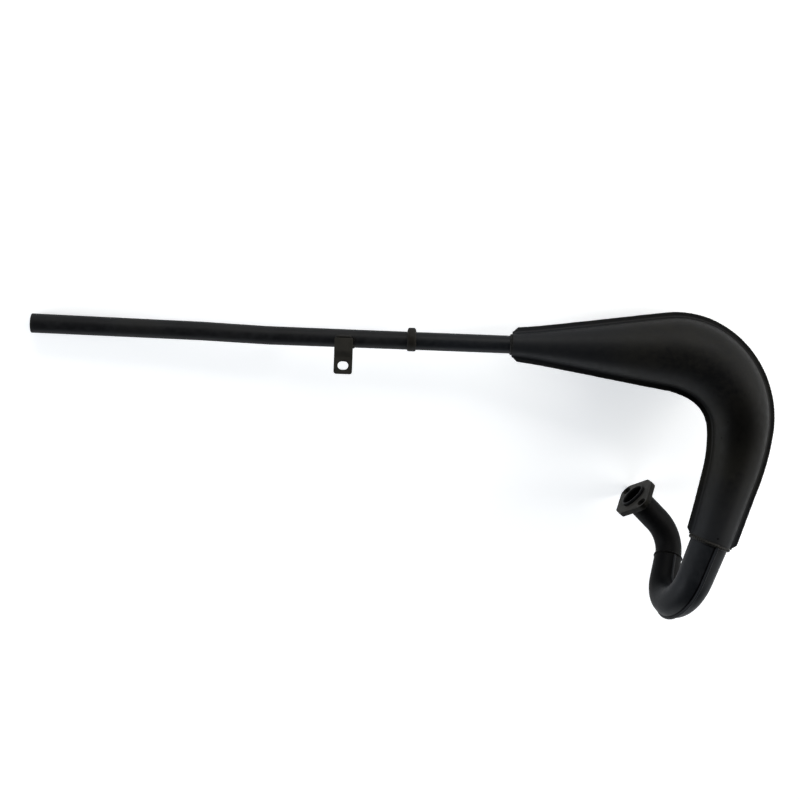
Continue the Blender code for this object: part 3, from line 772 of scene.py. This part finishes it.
def flange_mesh(spigot_end):
    corner_x = FLANGE_HALF_WIDTH - FLANGE_CORNER_R
    corner_y = FLANGE_FLAT / 2
    lobe_y = LOBE_SPACING / 2
    outline = [(corner_x, -corner_y, FLANGE_CORNER_R), (corner_x, corner_y, FLANGE_CORNER_R),
               (0, lobe_y, LOBE_R),
               (-corner_x, corner_y, FLANGE_CORNER_R), (-corner_x, -corner_y, FLANGE_CORNER_R),
               (0, -lobe_y, LOBE_R)]
    bore_r = HEADER_R + GAP
    bore = [(0, -0.01 * MM, bore_r), (0, 0.01 * MM, bore_r)]  # a belt needs two circles
    slots = [slot_circles((0, side * lobe_y), *SLOT) for side in (-1, 1)]
    mesh = plate_mesh("flange_plate", outline, [bore] + slots, FLANGE_THICKNESS, FLANGE_EDGE)
    mesh.transform(flange_place(spigot_end))
    return mesh


def build_header(route, tube_paint, flange_paint, weld):
    pipe = pipe_mesh("header_pipe", route, lambda distance: HEADER_R, HEADER_PAINTED_SHADE)
    add_piece("header_pipe", pipe, tube_paint, "header_tube")
    joint = weld_ring("header_elbow_bead", route, HEADER_ELBOW_BEAD_PAST, HEADER_R, *HEADER_ELBOW_BEAD,
                      seed=31, soot_and_shade=HEADER_BEAD_PAINTED_SHADE)
    add_piece("header_elbow_bead", joint, weld, "header_elbow_weld", BEAD_SHARP)
    plate = flange_mesh(route.end.translation)
    add_piece("flange_plate", plate, flange_paint, "header_flange")
    behind = route.length - SPIGOT - FLANGE_THICKNESS - FLANGE_BEAD_PAST
    bead = weld_ring("flange_bead", route, behind, HEADER_R, *FLANGE_BEAD, seed=32)
    add_piece("flange_bead", bead, weld, "flange_weld", BEAD_SHARP)


# ---------------------------------------------------------------- stinger, collar, tail tube

def collar_mesh(route):
    """A rounded ring, taller on its upper side. It is the revolved outline of its wall."""
    half = COLLAR_WIDTH / 2
    crown = [(-half + COLLAR_EDGE * (1 - math.cos(a)), math.sin(a)) for a in
             (math.radians(15 * i) for i in range(7))]
    outline = [(-half, -0.02)] + crown + [(-d, h) for d, h in reversed(crown)] + [(half, -0.02)]
    turn = np.linspace(0, 2 * math.pi, COLLAR_SIDES, endpoint=False)
    share = 1 - COLLAR_ECCENTRICITY * np.cos(turn)
    rows = []
    for along, height in outline:
        radius = TAIL_R + 0.1 * MM + COLLAR_HEIGHT * share * height
        rows.append(circle_row(route.at(route.length + along), radius, COLLAR_SIDES))
    return grid_mesh("collar_ring", rows, closed_rows=True)


def tail_radius(length):
    return lambda distance: TAIL_R + (TAIL_TIP_R - TAIL_R) * distance / length


def build_tail(stinger, tail, stinger_paint, tail_paint, collar_paint, weld):
    pipe = pipe_mesh("stinger_pipe", stinger, lambda distance: TAIL_R)
    add_piece("stinger_pipe", pipe, stinger_paint, "stinger_tube")
    neck = weld_ring("neck_bead", stinger, STINGER_INSIDE + NECK_BEAD_PAST, TAIL_R, *NECK_BEAD, seed=41)
    add_piece("neck_bead", neck, weld, "chamber_stinger_weld", BEAD_SHARP)
    ring = collar_mesh(stinger)
    add_piece("collar_ring", ring, collar_paint, "joint_collar", COLLAR_SHARP)
    pipe = pipe_mesh("tail_pipe", tail, tail_radius(tail.length))
    add_piece("tail_pipe", pipe, tail_paint, "tail_tube")


# ---------------------------------------------------------------- bracket

def bracket_mesh(place):
    """A strip with a step in it: made flat, cut across where it bends, then bent."""
    half = BRACKET_WIDTH / 2
    top, low = BRACKET_TOP_CORNER_R, BRACKET_CORNER_R
    outline = [(-half + top, top, top), (half - top, top, top),
               (half - low, BRACKET_LENGTH - low, low), (-half + low, BRACKET_LENGTH - low, low)]
    slot = slot_circles((0, BRACKET_SLOT_FROM_TOP), *BRACKET_SLOT, math.pi / 2)
    mesh = plate_mesh("bracket_strip", outline, [slot], BRACKET_THICKNESS, BRACKET_EDGE)
    shape = bmesh.new()
    shape.from_mesh(mesh)
    for down in np.linspace(BRACKET_STEP_FROM, BRACKET_STEP_TO, BRACKET_CUTS):
        everything = shape.verts[:] + shape.edges[:] + shape.faces[:]
        bmesh.ops.bisect_plane(shape, geom=everything, plane_co=(0, down, 0), plane_no=(0, 1, 0))
    for vert in shape.verts:
        share = (vert.co.y - BRACKET_STEP_FROM) / (BRACKET_STEP_TO - BRACKET_STEP_FROM)
        vert.co.z -= BRACKET_STEP * ease(share)
    shape.to_mesh(mesh)
    shape.free()
    mesh.transform(place)
    return mesh


def build_bracket(joint, paint, weld):
    place = joint @ Matrix.Translation((BRACKET_FROM_COLLAR, 0, TAIL_R + GAP))
    add_piece("bracket_strip", bracket_mesh(place), paint, "mounting_bracket")
    axis = place @ Vector((0, 0, -TAIL_R - GAP))
    ahead = place.to_3x3() @ Vector((1, 0, 0))

    def from_tube(point):
        out = point - axis
        return (out - ahead * out.dot(ahead)).normalized()

    for name, node, (around, places, size) in (
            ("bracket_top_bead", "bracket_top_weld", BRACKET_TOP_BEAD),
            ("bracket_corner_bead", "bracket_corner_weld", BRACKET_CORNER_BEAD),
            ("bracket_back_bead", "bracket_back_weld", BRACKET_BACK_BEAD)):
        turn = math.radians(around)
        down, height = TAIL_R * math.cos(turn), TAIL_R * (math.sin(turn) - 1) - GAP
        points = [place @ Vector((BRACKET_WIDTH * share, down, height)) for share in places]
        bead = weld_line(name, points, from_tube, *size, BRACKET_BEAD_PITCH, seed=51 + len(name))
        add_piece(name, bead, weld, node, BEAD_SHARP)


# ---------------------------------------------------------------- materials

class Nodes:
    """Short calls for building a material's nodes."""

    def __init__(self, name):
        self.material = bpy.data.materials.new(name)
        self.material.use_nodes = True
        self.tree = self.material.node_tree
        self.shader = self.tree.nodes["Principled BSDF"]

    def link(self, source, target):
        if isinstance(source, (int, float, tuple)):
            target.default_value = source
        else:
            self.tree.links.new(source, target)

    def noise(self, where, scale, detail=2.0, rough=0.5):
        texture = self.tree.nodes.new("ShaderNodeTexNoise")
        texture.inputs["Scale"].default_value = scale
        texture.inputs["Detail"].default_value = detail
        texture.inputs["Roughness"].default_value = rough
        self.link(where, texture.inputs["Vector"])
        return texture.outputs["Fac"]

    def spread(self, value, low, high, to_low=0.0, to_high=1.0):
        """Move a value's range low..high to to_low..to_high, clamped."""
        mapped = self.tree.nodes.new("ShaderNodeMapRange")
        for socket, number in zip(("From Min", "From Max", "To Min", "To Max"),
                                  (low, high, to_low, to_high)):
            mapped.inputs[socket].default_value = number
        self.link(value, mapped.inputs["Value"])
        return mapped.outputs["Result"]

    def mix(self, share, first, second):
        mixed = self.tree.nodes.new("ShaderNodeMix")
        mixed.data_type = "RGBA"
        self.link(share, mixed.inputs["Factor"])
        self.link(first, mixed.inputs["A"])
        self.link(second, mixed.inputs["B"])
        return mixed.outputs["Result"]

    def math(self, operation, first, second):
        worked = self.tree.nodes.new("ShaderNodeMath")
        worked.operation = operation
        self.link(first, worked.inputs[0])
        self.link(second, worked.inputs[1])
        return worked.outputs["Value"]

    def distance(self, where, place):
        away = self.tree.nodes.new("ShaderNodeVectorMath")
        away.operation = "DISTANCE"
        self.link(where, away.inputs[0])
        away.inputs[1].default_value = place
        return away.outputs["Value"]

    def attribute(self, name):
        stored = self.tree.nodes.new("ShaderNodeAttribute")
        stored.attribute_name = name
        return stored.outputs["Fac"]

    def bump(self, height, strength, distance):
        bump = self.tree.nodes.new("ShaderNodeBump")
        bump.inputs["Strength"].default_value = strength
        bump.inputs["Distance"].default_value = distance
        self.link(height, bump.inputs["Height"])
        return bump.outputs["Normal"]


def satin_black(name, tint, dark, light, roughness, worn=0.35, dark_dots=()):
    """Black heat paint: mottled in tone and sheen, with a fine grain, a few specks and rubbed edges.

    The attribute of soot and painted shade darkens it where positive, to near black with less sheen: soot
    inside the tubes, painted shade elsewhere; where negative it turns the paint paler and bluer. The dark
    dots are small dark spots given as (place, radius).
    """
    nodes = Nodes(name)
    where = nodes.tree.nodes.new("ShaderNodeTexCoord").outputs["Object"]
    cloud = nodes.noise(where, CLOUD, 3)
    mottle = nodes.noise(where, MOTTLE, 4, 0.6)
    grain = nodes.noise(where, GRAIN, 3, 0.6)
    speck = nodes.noise(where, SPECK, 1)
    tone = nodes.math("ADD", nodes.math("MULTIPLY", cloud, 0.55), nodes.math("MULTIPLY", mottle, 0.45))
    colour = nodes.mix(nodes.spread(tone, 0.40, 0.60), dark, light)
    colour = nodes.mix(nodes.spread(cloud, 0.52, 0.70, 0.0, 0.6), colour, tint)
    soot_and_shade_value = nodes.attribute("soot_and_shade")
    soot_and_shade = nodes.spread(soot_and_shade_value, 0, 1)
    # small dark spots, darkened with less sheen like the painted shade
    for place, radius in dark_dots:
        dark_dot = nodes.spread(nodes.distance(where, place), 0.6 * radius, radius, 1, 0)
        soot_and_shade = nodes.math("MAXIMUM", soot_and_shade, dark_dot)
    # paler and bluer paint where the attribute is negative
    colour = nodes.mix(nodes.spread(soot_and_shade_value, -1, 0, 0.8, 0), colour, PALE_BLUE)
    # darker to near black with less sheen: soot inside the tubes, painted shade on the outsides
    colour = nodes.mix(soot_and_shade, colour, SOOT_AND_SHADE_BLACK)
    nodes.link(nodes.spread(soot_and_shade, 0, 1, SHEEN, 0.25 * SHEEN), nodes.shader.inputs["Specular IOR Level"])
    colour = nodes.mix(nodes.spread(speck, 0.765, 0.80, 0.0, 0.8), colour, DUST)
    rubbed = nodes.math("MULTIPLY", nodes.attribute("wear"), nodes.spread(mottle, 0.40, 0.62, 0.0, worn))
    colour = nodes.mix(rubbed, colour, RUBBED)
    nodes.link(colour, nodes.shader.inputs["Base Color"])
    sheen = nodes.spread(nodes.math("ADD", mottle, nodes.math("MULTIPLY", grain, 0.5)), 0.55, 0.95,
                         roughness - 0.06, roughness + 0.08)
    nodes.link(sheen, nodes.shader.inputs["Roughness"])
    relief = nodes.math("ADD", nodes.math("MULTIPLY", grain, 0.5), nodes.math("MULTIPLY", mottle, 0.9))
    nodes.link(nodes.bump(relief, 0.35, 0.12 * MM), nodes.shader.inputs["Normal"])
    return nodes.material


def body_paint():
    return satin_black("body_paint", OLIVE, (0.0022, 0.0023, 0.0026, 1), (0.0062, 0.0059, 0.0049, 1),
                       0.54, dark_dots=BODY_DARK_DOTS)


def elbow_paint():
    return satin_black("elbow_paint", (0.0050, 0.0064, 0.0090, 1), (0.0034, 0.0042, 0.0056, 1),
                       (0.0078, 0.0086, 0.0104, 1), 0.50)


def tube_paint():
    return satin_black("tube_paint", (0.0072, 0.0072, 0.0062, 1), (0.0034, 0.0036, 0.0044, 1),
                       (0.0080, 0.0084, 0.0096, 1), 0.54)


# painted light: a lighter, warmer copy of the black paint for the brightly lit flange face; the collar
# shares it
def plate_paint():
    return satin_black("plate_paint", (0.0104, 0.0088, 0.0064, 1), (0.0058, 0.0050, 0.0040, 1),
                       (0.0104, 0.0092, 0.0072, 1), 0.60, 0.6)


def bracket_paint():
    return satin_black("bracket_paint", (0.0190, 0.0176, 0.0140, 1), (0.0125, 0.0120, 0.0105, 1),
                       (0.0190, 0.0182, 0.0158, 1), 0.58, 0.5)


def weld_paint():
    return satin_black("weld_paint", OLIVE, (0.0030, 0.0030, 0.0028, 1), (0.0084, 0.0080, 0.0070, 1),
                       0.46)


# ---------------------------------------------------------------- stage

def add_light(name, place, size, power, colour):
    data = bpy.data.lights.new(name, "AREA")
    data.shape = "RECTANGLE"
    data.size, data.size_y = size
    data.energy = power
    data.color = colour
    light = bpy.data.objects.new(name, data)
    light.location = place
    light.rotation_euler = (Vector(LIGHTS_AIM) - Vector(place)).to_track_quat("-Z", "Y").to_euler()
    bpy.context.scene.collection.objects.link(light)


def build_floor():
    bpy.ops.mesh.primitive_plane_add(size=FLOOR_SIDE, location=(0, 0, 0))
    floor = bpy.context.object
    floor.name = "floor"
    nodes = Nodes("floor_paper")
    where = nodes.tree.nodes.new("ShaderNodeTexCoord").outputs["Object"]
    grain = nodes.noise(where, 300, 3)
    nodes.link(nodes.mix(grain, (0.86, 0.865, 0.875, 1), (0.90, 0.90, 0.905, 1)),
               nodes.shader.inputs["Base Color"])
    nodes.shader.inputs["Roughness"].default_value = 0.9
    nodes.shader.inputs["Specular IOR Level"].default_value = 0.1
    nodes.shader.inputs["Emission Color"].default_value = (0.96, 0.98, 1.0, 1)
    nodes.shader.inputs["Emission Strength"].default_value = FLOOR_GLOW
    floor.data.materials.append(nodes.material)


def build_room():
    world = bpy.data.worlds.new("pale_room")
    bpy.context.scene.world = world
    world.use_nodes = True
    tree = world.node_tree
    backdrop = tree.nodes["Background"]
    backdrop.inputs["Color"].default_value = (0.92, 0.96, 1.0, 1)
    height = tree.nodes.new("ShaderNodeSeparateXYZ")
    tree.links.new(tree.nodes.new("ShaderNodeTexCoord").outputs["Generated"], height.inputs[0])
    fade = tree.nodes.new("ShaderNodeMapRange")
    fade.interpolation_type = "SMOOTHSTEP"
    for socket, number in zip(("From Min", "From Max", "To Min", "To Max"), SKY_FADE):
        fade.inputs[socket].default_value = number
    tree.links.new(height.outputs["Z"], fade.inputs["Value"])
    tree.links.new(fade.outputs["Result"], backdrop.inputs["Strength"])


def build_camera():
    """Square to the seam plane, a little off the middle of the exhaust, 1.8 m away."""
    data = bpy.data.cameras.new("camera")
    data.sensor_width = 36
    data.lens = CAMERA_LENS
    data.clip_end = 20
    camera = bpy.data.objects.new("camera", data)
    bpy.context.scene.collection.objects.link(camera)
    camera.matrix_world = REST @ Matrix.Translation(CAMERA_PLACE)
    bpy.context.scene.camera = camera


# ---------------------------------------------------------------- assembly

def build():
    chamber = chamber_route()
    elbow = elbow_route(chamber.end)
    header = header_route(elbow.end)
    stinger = stinger_route()
    tail = tail_route(stinger.end)

    body, blue, tube = body_paint(), elbow_paint(), tube_paint()
    plate, strip, weld = plate_paint(), bracket_paint(), weld_paint()

    build_chamber(chamber, body, weld)
    build_elbow(elbow, blue, weld)
    build_header(header, tube, plate, weld)
    build_tail(stinger, tail, blue, tube, plate, weld)
    build_bracket(stinger.end, strip, weld)
    build_camera()
    build_floor()
    build_room()
    for light in LIGHTS:
        add_light(*light)
    bpy.context.scene.view_settings.view_transform = "Standard"


build()
